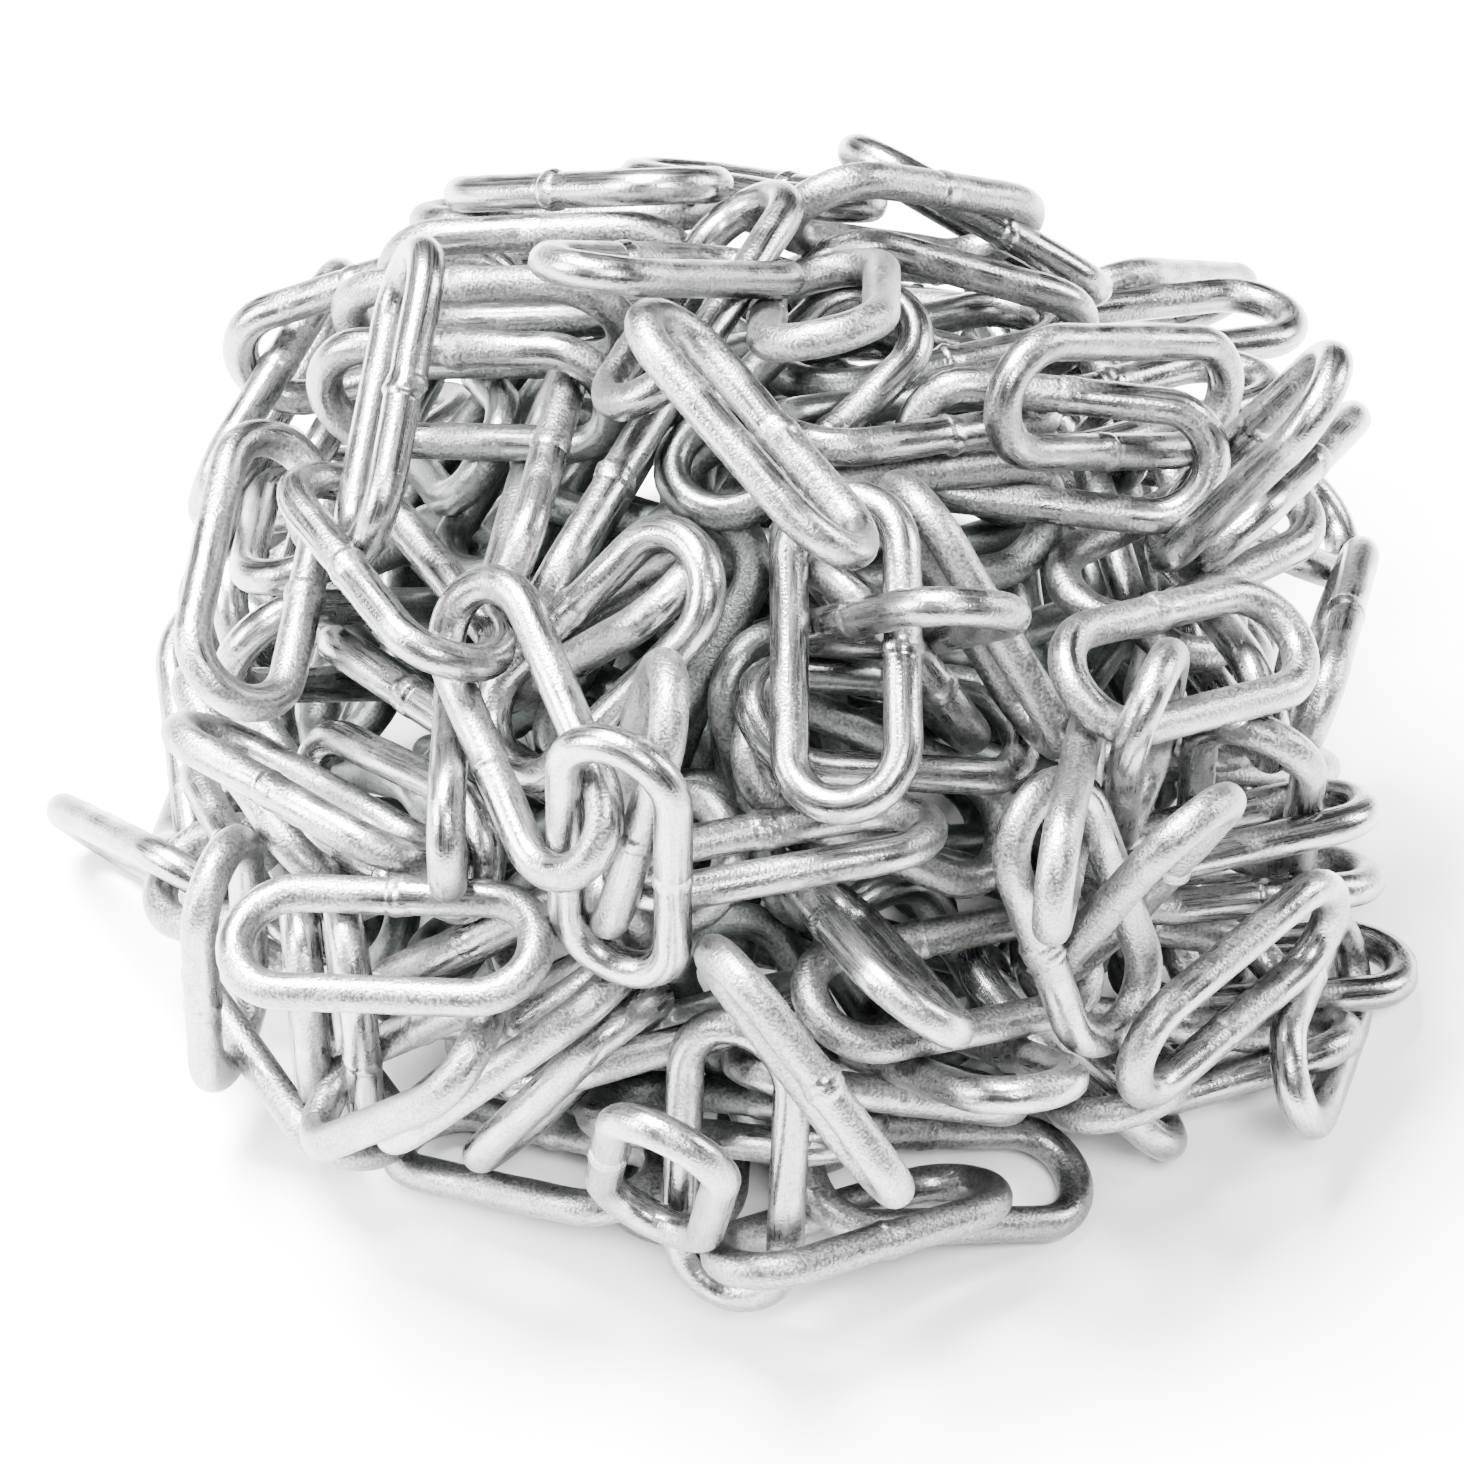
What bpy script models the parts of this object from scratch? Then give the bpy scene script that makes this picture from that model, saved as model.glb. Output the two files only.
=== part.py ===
"""A heap of galvanised long-link chain: one length of 5 mm chain tipped out on the floor.

Lengths are in millimetres until the objects are made, which are in metres.
"""
import math
from collections import namedtuple

import bmesh
import bpy
import numpy as np
from mathutils import Matrix

MM = 0.001

# The chain: 5 mm round wire, 35 mm pitch, butt-welded long links
WIRE = 5.0
PITCH = 35.0
INNER_WIDTH = 10.0
CROWN_RADIUS = (INNER_WIDTH + WIRE) / 2
CROWN_CENTRE = (PITCH - INNER_WIDTH) / 2
HALF_LENGTH = CROWN_CENTRE + CROWN_RADIUS

# How coarsely a link is faceted: six sides round the wire, four steps round each crown
BEVEL_RESOLUTION = 1
CROWN_STEPS = 4
CORNER_RADIUS = 2.55

# The heap's outside, and the plain core that stands for the links hidden in it
HEAP_HALF_WIDTH = 87.0
HEAP_HALF_DEPTH = 86.0
HEAP_HEIGHT = 112.0
CORE_INSET = 38.0
CORE_HALF = np.array([HEAP_HALF_WIDTH, HEAP_HALF_DEPTH, HEAP_HEIGHT]) - CORE_INSET
CORE_SIDES = 24
CORE_RINGS = 8

# Clearances, between the centre lines of two wires or of a wire and what it rests on
CLEAR = WIRE + 0.3
FUSED = WIRE - 1.0
ON_FLOOR = CORNER_RADIUS + 0.05
OFF_CORE = CORNER_RADIUS + 0.3

# The viewpoint from which the front of the heap was laid out, with pixels of a square picture
PICTURE_CENTRE = 732.0
PIXELS_PER_MM = 7.2
EYE_DISTANCE = 900.0
EYE_ELEVATION = math.radians(45.0)
EYE_TARGET = np.array([0.0, 0.0, 25.0])
FOCAL = PIXELS_PER_MM * EYE_DISTANCE
VIEW = np.array([
    [1.0, 0.0, 0.0],
    [0.0, math.sin(EYE_ELEVATION), math.cos(EYE_ELEVATION)],
    [0.0, -math.cos(EYE_ELEVATION), math.sin(EYE_ELEVATION)],
])
TOWARD_EYE = VIEW[2]

# One lying link as it is seen from there: the pixels of its two crowns, how many pixels its two
# sides are apart, which side is the nearer (up, down, left or right), how many wires deep it lies,
# which crown is the nearer ("" where it follows the heap's face), and what it hangs in
Laid = namedtuple("Laid", "name first last apart near_side under near_crown hangs_in")
SIDES = {"up": (0.0, 1.0), "down": (0.0, -1.0), "left": (-1.0, 0.0), "right": (1.0, 0.0)}

FRONT = [
    # Back of the heap, left to right
    Laid("back_1", (471, 172), (705, 212), 20, "down", 1.0, "", ""),
    Laid("back_2", (428, 207), (700, 215), 30, "down", 1.6, "", ""),
    Laid("back_3", (393, 272), (688, 268), 78, "up", 0.5, "", "fall_1"),
    Laid("back_4", (455, 262), (720, 290), 60, "up", 2.0, "", ""),
    Laid("back_5", (588, 292), (745, 260), 40, "down", 0.5, "first", "fall_2"),
    Laid("back_6", (648, 168), (860, 190), 20, "down", 2.0, "", ""),
    Laid("back_7", (805, 200), (1010, 238), 60, "up", 1.2, "", ""),
    Laid("back_8", (862, 165), (1090, 275), 14, "up", 1.6, "", ""),
    Laid("back_9", (803, 285), (1088, 310), 70, "up", 0.8, "", ""),
    Laid("back_10", (1055, 318), (790, 370), 60, "down", 2.2, "", ""),
    Laid("back_11", (1035, 365), (790, 470), 60, "down", 2.6, "", ""),
    Laid("back_12", (1293, 302), (1030, 350), 58, "down", 1.6, "", ""),
    Laid("back_13", (1240, 285), (1080, 290), 40, "up", 2.6, "", ""),
    # The chain that falls down the left of the face, link in link
    Laid("fall_1", (430, 265), (360, 548), 28, "right", 0.0, "", "fall_3"),
    Laid("fall_3", (318, 475), (485, 665), 72, "left", 0.0, "", "fall_4"),
    Laid("fall_4", (467, 592), (590, 865), 85, "right", -0.5, "", "fall_5"),
    Laid("fall_5", (645, 745), (610, 965), 108, "right", -0.3, "", ""),
    # The chain that falls down the middle
    Laid("fall_2", (757, 195), (640, 408), 65, "right", 0.0, "", ""),
    Laid("middle_1", (652, 325), (850, 555), 43, "left", -0.5, "", "middle_2"),
    Laid("middle_2", (856, 503), (834, 802), 106, "right", -0.5, "", ""),
    Laid("middle_3", (828, 603), (985, 648), 14, "up", -0.3, "last", "middle_2"),
    Laid("middle_4", (901, 298), (685, 503), 103, "right", 0.6, "", ""),
    Laid("middle_5", (818, 347), (830, 262), 108, "right", 0.8, "first", "middle_4"),
    # Left of the face
    Laid("left_1", (321, 388), (612, 400), 85, "up", 1.2, "", ""),
    Laid("left_2", (328, 272), (208, 505), 20, "left", 0.5, "", "left_3"),
    Laid("left_3", (240, 340), (520, 330), 85, "up", 1.4, "", ""),
    Laid("left_4", (352, 315), (620, 330), 70, "up", 2.2, "", ""),
    Laid("left_5", (560, 390), (497, 590), 12, "right", 0.8, "", ""),
    Laid("left_6", (668, 415), (530, 610), 20, "left", 1.0, "", ""),
    Laid("left_7", (400, 350), (488, 472), 92, "right", 2.4, "last", ""),
    Laid("left_8", (709, 575), (485, 737), 105, "down", 0.6, "", ""),
    Laid("left_9", (675, 585), (530, 660), 30, "down", 1.8, "first", ""),
    Laid("left_10", (668, 690), (600, 895), 24, "right", 0.9, "", ""),
    Laid("left_11", (183, 742), (430, 845), 15, "down", 0.0, "", ""),
    Laid("left_12", (281, 782), (505, 870), 108, "up", 0.9, "", ""),
    Laid("left_13", (452, 700), (463, 852), 30, "right", 0.0, "last", "left_12"),
    Laid("left_14", (320, 672), (560, 752), 15, "up", 1.0, "", ""),
    Laid("left_15", (263, 650), (440, 640), 75, "up", 2.0, "first", ""),
    Laid("left_16", (197, 675), (335, 890), 45, "left", 1.4, "", ""),
    Laid("left_17", (197, 785), (320, 930), 50, "down", 2.2, "", ""),
    Laid("left_18", (68, 846), (210, 893), 20, "up", 0.5, "last", "left_19"),
    Laid("left_19", (157, 903), (400, 850), 75, "down", 1.6, "", ""),
    Laid("left_20", (235, 857), (240, 1035), 25, "left", 0.0, "", "left_21"),
    Laid("left_21", (225, 960), (350, 1140), 85, "left", 0.8, "", ""),
    Laid("left_22", (312, 925), (325, 1100), 12, "right", 1.2, "", ""),
    Laid("left_23", (355, 915), (343, 1100), 14, "right", 0.8, "", "front_2"),
    Laid("left_24", (290, 448), (250, 700), 92, "left", 1.5, "", ""),
    # Front of the face, left to right
    Laid("front_1", (470, 1035), (345, 1100), 60, "down", 0.3, "first", "left_23"),
    Laid("front_2", (252, 968), (530, 915), 88, "down", 0.8, "", ""),
    Laid("front_3", (437, 932), (700, 825), 16, "down", 2.2, "", ""),
    Laid("front_4", (395, 1030), (620, 900), 75, "up", 1.0, "", ""),
    Laid("front_5", (503, 965), (735, 830), 85, "down", 1.4, "", ""),
    Laid("front_6", (385, 1120), (632, 985), 22, "down", 0.4, "", ""),
    Laid("front_7", (405, 1135), (645, 1178), 72, "down", 1.0, "", ""),
    Laid("front_8", (523, 1092), (790, 985), 30, "down", 0.9, "", ""),
    Laid("front_9", (600, 1000), (537, 1155), 50, "left", 0.8, "", ""),
    Laid("front_10", (668, 1130), (658, 1215), 108, "right", 0.0, "first", "front_11"),
    Laid("front_11", (745, 1015), (727, 1301), 106, "right", 0.5, "", ""),
    Laid("front_12", (722, 1262), (990, 1187), 32, "down", 0.0, "", "front_11"),
    Laid("front_13", (815, 1185), (1080, 1178), 98, "down", 0.5, "", "front_12"),
    Laid("front_14", (722, 950), (882, 1180), 18, "right", 0.0, "", ""),
    Laid("front_15", (810, 1020), (1090, 955), 100, "down", 0.6, "", ""),
    Laid("front_16", (815, 898), (928, 1005), 14, "left", 0.0, "last", ""),
    Laid("front_17", (750, 775), (1010, 800), 106, "down", 1.6, "", ""),
    Laid("front_18", (918, 812), (626, 893), 45, "down", 0.8, "", ""),
    Laid("front_19", (600, 1110), (860, 1112), 42, "down", 2.4, "", ""),
    Laid("front_20", (1010, 1085), (740, 1095), 22, "down", 2.6, "", ""),
    # Right of the face
    Laid("right_1", (900, 500), (1053, 735), 16, "right", 0.9, "", ""),
    Laid("right_2", (830, 600), (975, 708), 16, "right", 2.0, "", ""),
    Laid("right_3", (1005, 745), (760, 700), 80, "down", 2.4, "", ""),
    Laid("right_4", (1010, 405), (1222, 388), 104, "up", 0.0, "first", "right_5"),
    Laid("right_5", (921, 482), (1205, 432), 104, "up", 0.9, "", ""),
    Laid("right_6", (1257, 383), (1020, 430), 50, "down", 2.0, "", ""),
    Laid("right_7", (1059, 528), (780, 520), 102, "up", 1.2, "", "right_5"),
    Laid("right_8", (1073, 590), (1310, 500), 94, "down", 0.5, "", "right_9"),
    Laid("right_9", (1066, 685), (1290, 640), 106, "down", 0.0, "", "right_13"),
    Laid("right_10", (1283, 390), (1180, 545), 20, "right", 0.0, "first", ""),
    Laid("right_11", (1322, 425), (1200, 570), 20, "right", 1.2, "", ""),
    Laid("right_12", (1362, 525), (1150, 480), 90, "down", 2.2, "", ""),
    Laid("right_13", (1135, 670), (1140, 830), 45, "left", 0.4, "", ""),
    Laid("right_14", (1335, 575), (1300, 735), 14, "right", 0.8, "", ""),
    Laid("right_15", (1238, 733), (1215, 600), 14, "right", 1.6, "first", ""),
    Laid("right_16", (1340, 742), (1080, 780), 25, "down", 1.4, "", ""),
    Laid("right_17", (1352, 803), (1090, 850), 45, "down", 0.9, "", ""),
    Laid("right_18", (1245, 700), (1253, 888), 92, "right", 1.2, "", ""),
    Laid("right_19", (1062, 760), (1068, 888), 14, "right", 0.2, "last", "right_20"),
    Laid("right_20", (1030, 800), (1120, 1015), 98, "left", 0.0, "", ""),
    Laid("right_21", (1192, 815), (1070, 955), 16, "left", -0.3, "first", "right_20"),
    Laid("right_22", (1330, 900), (1120, 1070), 60, "up", 0.6, "", ""),
    Laid("right_23", (1040, 950), (1285, 1015), 92, "down", 1.4, "", ""),
    Laid("right_24", (1397, 990), (1130, 960), 62, "down", 1.6, "", ""),
    Laid("right_25", (1373, 865), (1100, 890), 30, "down", 1.8, "", ""),
    Laid("right_26", (1322, 985), (1305, 1118), 50, "left", 0.4, "last", "right_24"),
    Laid("right_27", (1335, 1060), (1080, 1085), 22, "down", 2.2, "", ""),
    Laid("right_28", (1060, 1045), (1160, 1090), 70, "down", 1.2, "last", ""),
    Laid("right_29", (1178, 1095), (960, 1010), 60, "down", 2.0, "", ""),
    Laid("right_30", (1035, 1075), (880, 1040), 50, "down", 2.0, "first", ""),
]
LAYER = 5.0
HOOK_WEIGHT = 4.0
FLATTEST = 0.999
DEPTHS = np.arange(110.0, -110.0, -0.5)

# The back, which runs round the heap in rows of chain, link in link
BACK_ROWS = 4
BACK_LINKS = 9
BACK_FROM = math.radians(-12.0)
BACK_TO = math.radians(184.0)
BACK_LOWEST = 9.0
BACK_ROW_HEIGHT = 19.0
BACK_INSET = 13.0
BACK_WAVE = 4.0
BACK_CLIMB = 0.35
BACK_ROLL = math.radians(42.0)
WAVE_PER_LINK = 2.4
WAVE_PER_ROW = 1.7

# The layer under the outer links, spread evenly over the core
INNER_LINKS = 34
INNER_RISE = 9.0
INNER_TILT = math.radians(24.0)
INNER_HEADING_STEP = 2.4
INNER_TILT_STEP = 1.9
GOLDEN_TURN = math.pi * (3.0 - math.sqrt(5.0))

# The untangling: how deep the back and the inner layer count, and the shifts that are tried
BACK_RANK = 4.0
INNER_RANK = 6.0
UNTANGLE_ROUNDS = 80
UNTANGLE_STEP = 0.5
HOOK_SHIFTS = sorted(range(-12, 13), key=abs)

# The settling: rounds of pushing the links apart while they are drawn back to their places
SPREAD_ROUNDS = 220
SEAT_ROUNDS = 130
FUSE_ROUNDS = 110
CLEAN_ROUNDS = 320
SEAT_STEP = 0.06
SEAT_HOLD = 0.6
FUSE_HOLD = 0.3
HOLD_PLACE = 0.08
HOLD_TURN = 0.12
SIDEWAYS_EASE = 0.15
TURN_EASE = 1.0 / 150.0
GAIN = 0.9
CORE_EASE = 0.9
MOST_PUSH = 2.0
MOST_PULL = 1.0
CROWDING = 0.75
SETTLED = 0.02
LOW = 2.5 * WIRE
LOW_BACK_PULL = 2.0
INWARD_FLATNESS = np.array([1.0, 1.0, 2.0])

# The runs of touching links that are joined
NODES = 59
LONGEST_RUN = 4

# The look of the wire and of the core
ZINC = {"Base Color": (0.70, 0.71, 0.72, 1.0), "Metallic": 0.9, "Roughness": 0.38}
DARK_ZINC = {"Base Color": (0.30, 0.31, 0.32, 1.0), "Metallic": 0.9, "Roughness": 0.6}
SHARP_ANGLE = math.radians(35.0)


def link_path():
    """The centre line of a link, a closed ring of points, long axis X and width along Y."""
    points = []
    for end in (1, -1):
        for step in range(CROWN_STEPS + 1):
            angle = end * math.pi / 2 - math.pi * step / CROWN_STEPS
            if end < 0:
                angle = -math.pi / 2 - math.pi * step / CROWN_STEPS
            points.append((
                end * CROWN_CENTRE + CROWN_RADIUS * math.cos(angle),
                CROWN_RADIUS * math.sin(angle),
                0.0,
            ))
    return np.array(points)


PATH = link_path()
PATH_ENDS = np.roll(PATH, -1, axis=0)
SIDE_POINTS = np.array([
    (x, side * CROWN_RADIUS, 0.0)
    for side in (1, -1)
    for x in (-CROWN_CENTRE / 2, 0.0, CROWN_CENTRE / 2)
])
TOUCH_POINTS = np.vstack([PATH, SIDE_POINTS])


def at_pixel(pixel, depth):
    """The place in the viewer's axes (right, up, toward the eye) of a pixel at a depth."""
    scale = (EYE_DISTANCE - depth) / FOCAL
    return np.array([
        (pixel[0] - PICTURE_CENTRE) * scale,
        (PICTURE_CENTRE - pixel[1]) * scale,
        depth,
    ])


def face_depth(pixel):
    """How near the eye the face of the heap is at a pixel, and never below the floor."""
    scale = (EYE_DISTANCE - DEPTHS) / FOCAL
    seen = np.stack([
        (pixel[0] - PICTURE_CENTRE) * scale,
        (PICTURE_CENTRE - pixel[1]) * scale,
        DEPTHS,
    ], axis=1)
    places = seen @ VIEW + EYE_TARGET
    half = np.array([HEAP_HALF_WIDTH, HEAP_HALF_DEPTH, HEAP_HEIGHT])
    inside = np.sum((places / half) ** 2, axis=1)
    index = int(np.argmax(inside < 1.0)) if inside.min() < 1.0 else int(np.argmin(inside))
    above = np.nonzero(places[:, 2] >= ON_FLOOR)[0]
    return DEPTHS[min(index, int(above[-1]))]


def front_hooks():
    """The front links that hang in each other, each with the end of it that meets the other."""
    names = [laid.name for laid in FRONT]
    hooks = []
    for i, laid in enumerate(FRONT):
        if laid.hangs_in:
            j = names.index(laid.hangs_in)
            other = FRONT[j]
            hooks.append(min(
                (math.dist(p, q), i, end, j, other_end)
                for end, p in ((-1, laid.first), (1, laid.last))
                for other_end, q in ((-1, other.first), (1, other.last))
            )[1:])
    return hooks


def front_links():
    """The places and axes of the links that the front shows."""
    count = len(FRONT)
    depth = np.array([
        face_depth(np.mean([laid.first, laid.last], axis=0)) - WIRE / 2 - LAYER * laid.under
        for laid in FRONT
    ])
    axes = np.zeros((count, 3, 3))
    for i, laid in enumerate(FRONT):
        per_mm = FOCAL / (EYE_DISTANCE - depth[i])
        along = np.subtract(laid.last, laid.first) * (1.0, -1.0) / per_mm
        seen = min(np.hypot(*along), FLATTEST * 2 * HALF_LENGTH)
        flat = along / np.hypot(*along)
        lean = math.acos(seen / (2 * HALF_LENGTH))
        if laid.near_crown == "first":
            lean = -lean
        elif not laid.near_crown and face_depth(laid.last) < face_depth(laid.first):
            lean = -lean
        long_axis = np.array([flat[0] * math.cos(lean), flat[1] * math.cos(lean), math.sin(lean)])
        across = np.array([-flat[1], flat[0], 0.0])
        if across[:2] @ SIDES[laid.near_side] < 0:
            across = -across
        rise = np.cross(across, long_axis)
        if rise[2] < 0:
            rise = -rise
        roll = math.acos(min(1.0, laid.apart / (2 * CROWN_RADIUS * per_mm)))
        width_axis = across * math.cos(roll) + rise * math.sin(roll)
        axes[i] = np.stack([long_axis, width_axis, np.cross(long_axis, width_axis)], axis=1)
    # Two links that hang in each other have the crowns that meet at one depth
    rows = [np.eye(count)]
    sums = [depth]
    for i, end, j, other_end in front_hooks():
        row = np.zeros((1, count))
        row[0, i] = HOOK_WEIGHT
        row[0, j] = -HOOK_WEIGHT
        rows.append(row)
        sums.append([HOOK_WEIGHT * CROWN_CENTRE * (other_end * axes[j, 2, 0] - end * axes[i, 2, 0])])
    depth = np.linalg.lstsq(np.vstack(rows), np.concatenate(sums), rcond=None)[0]
    centres = np.array([
        at_pixel(np.mean([laid.first, laid.last], axis=0), depth[i]) @ VIEW + EYE_TARGET
        for i, laid in enumerate(FRONT)
    ])
    return centres, np.einsum("kc,nkl->ncl", VIEW, axes)


def back_links():
    """The places and axes of the rows of chain that run round the back."""
    centres = []
    axes = []
    hooks = []
    for row in range(BACK_ROWS):
        height = BACK_LOWEST + row * BACK_ROW_HEIGHT
        shrink = math.sqrt(1.0 - (height / HEAP_HEIGHT) ** 2)
        links = max(3, round(BACK_LINKS * shrink))
        for k in range(links):
            turn = BACK_FROM + (BACK_TO - BACK_FROM) * (k + 0.5 * (row % 2)) / (links - 0.5)
            phase = WAVE_PER_LINK * k + WAVE_PER_ROW * row
            wave = BACK_WAVE * math.sin(phase)
            reach = np.array([HEAP_HALF_WIDTH, HEAP_HALF_DEPTH]) * shrink - BACK_INSET
            centre = np.array([reach[0] * math.cos(turn), reach[1] * math.sin(turn), height + wave])
            ahead = np.array([-math.sin(turn), math.cos(turn), BACK_CLIMB * math.cos(phase)])
            ahead /= np.linalg.norm(ahead)
            outward = centre / np.array([HEAP_HALF_WIDTH, HEAP_HALF_DEPTH, HEAP_HEIGHT]) ** 2
            outward -= ahead * (outward @ ahead)
            outward /= np.linalg.norm(outward)
            across = np.cross(outward, ahead)
            roll = BACK_ROLL * (1 if k % 2 else -1)
            if k:
                hooks.append((len(centres) - 1, len(centres)))
            width_axis = across * math.cos(roll) + outward * math.sin(roll)
            centres.append(centre)
            axes.append(np.stack([ahead, width_axis, np.cross(ahead, width_axis)], axis=1))
    return np.array(centres), np.array(axes), hooks


def inner_links():
    """The places and axes of the links that lie on the core, each turned another way."""
    centres = []
    axes = []
    for k in range(INNER_LINKS):
        rise = (k + 0.5) / INNER_LINKS
        turn = k * GOLDEN_TURN
        flat = math.sqrt(1.0 - rise ** 2)
        unit = np.array([flat * math.cos(turn), flat * math.sin(turn), rise])
        outward = unit / CORE_HALF
        outward /= np.linalg.norm(outward)
        level = np.cross([0.0, 0.0, 1.0], outward)
        level /= np.linalg.norm(level)
        heading = INNER_HEADING_STEP * k
        long_axis = level * math.cos(heading) + np.cross(outward, level) * math.sin(heading)
        across = np.cross(outward, long_axis)
        tilt = INNER_TILT * math.sin(INNER_TILT_STEP * k)
        width_axis = across * math.cos(tilt) + outward * math.sin(tilt)
        centres.append(unit * (CORE_HALF + INNER_RISE))
        axes.append(np.stack([long_axis, width_axis, np.cross(long_axis, width_axis)], axis=1))
    return np.array(centres), np.array(axes)


def nearest_on_segments(p, p_end, q, q_end):
    """The nearest points of many pairs of straight pieces, and how far apart they are."""
    d1 = p_end - p
    d2 = q_end - q
    r = p - q
    a = np.sum(d1 * d1, axis=-1)
    e = np.sum(d2 * d2, axis=-1)
    f = np.sum(d2 * r, axis=-1)
    c = np.sum(d1 * r, axis=-1)
    b = np.sum(d1 * d2, axis=-1)
    denominator = np.maximum(a * e - b * b, 1e-9)
    s = np.clip((b * f - c * e) / denominator, 0.0, 1.0)
    t = np.clip((b * s + f) / e, 0.0, 1.0)
    s = np.clip((b * t - c) / a, 0.0, 1.0)
    near_p = p + d1 * s[..., None]
    near_q = q + d2 * t[..., None]
    gap = near_p - near_q
    return near_p, near_q, gap, np.sqrt(np.sum(gap * gap, axis=-1))


def near_pairs(centres, reach):
    """The pairs of links whose middles are near enough for the links to touch."""
    first, second = np.triu_indices(len(centres), 1)
    apart = np.linalg.norm(centres[first] - centres[second], axis=1)
    near = apart < reach
    return first[near], second[near]


def pair_gaps(centres, axes):
    """The least distance between the centre lines of each near pair of links."""
    first, second = near_pairs(centres, 2 * HALF_LENGTH + CLEAR)
    begin = np.einsum("nij,mj->nmi", axes, PATH) + centres[:, None]
    end = np.roll(begin, -1, axis=1)
    gaps = nearest_on_segments(begin[first][:, :, None], end[first][:, :, None],
                               begin[second][:, None], end[second][:, None])[3]
    return first, second, gaps.reshape(len(first), -1).min(axis=1)


def turned(axes, turns):
    """The axes after small turns, each given as a rotation vector, and made square again."""
    size = np.linalg.norm(turns, axis=1)
    unit = turns / np.maximum(size, 1e-12)[:, None]
    cos = np.cos(size)[:, None, None]
    sin = np.sin(size)[:, None, None]
    cross = np.zeros((len(axes), 3, 3))
    cross[:, 0, 1] = -unit[:, 2]
    cross[:, 0, 2] = unit[:, 1]
    cross[:, 1, 0] = unit[:, 2]
    cross[:, 1, 2] = -unit[:, 0]
    cross[:, 2, 0] = -unit[:, 1]
    cross[:, 2, 1] = unit[:, 0]
    outer = unit[:, :, None] * unit[:, None, :]
    rotation = cos * np.eye(3) + sin * cross + (1 - cos) * outer
    return squared(np.einsum("nij,njk->nik", rotation, axes))


def squared(axes):
    """The same axes, of length one and at right angles."""
    long_axis = axes[:, :, 0] / np.linalg.norm(axes[:, :, 0], axis=1)[:, None]
    width_axis = axes[:, :, 1] - long_axis * np.sum(axes[:, :, 1] * long_axis, axis=1)[:, None]
    width_axis /= np.linalg.norm(width_axis, axis=1)[:, None]
    return np.stack([long_axis, width_axis, np.cross(long_axis, width_axis)], axis=2)


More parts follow.
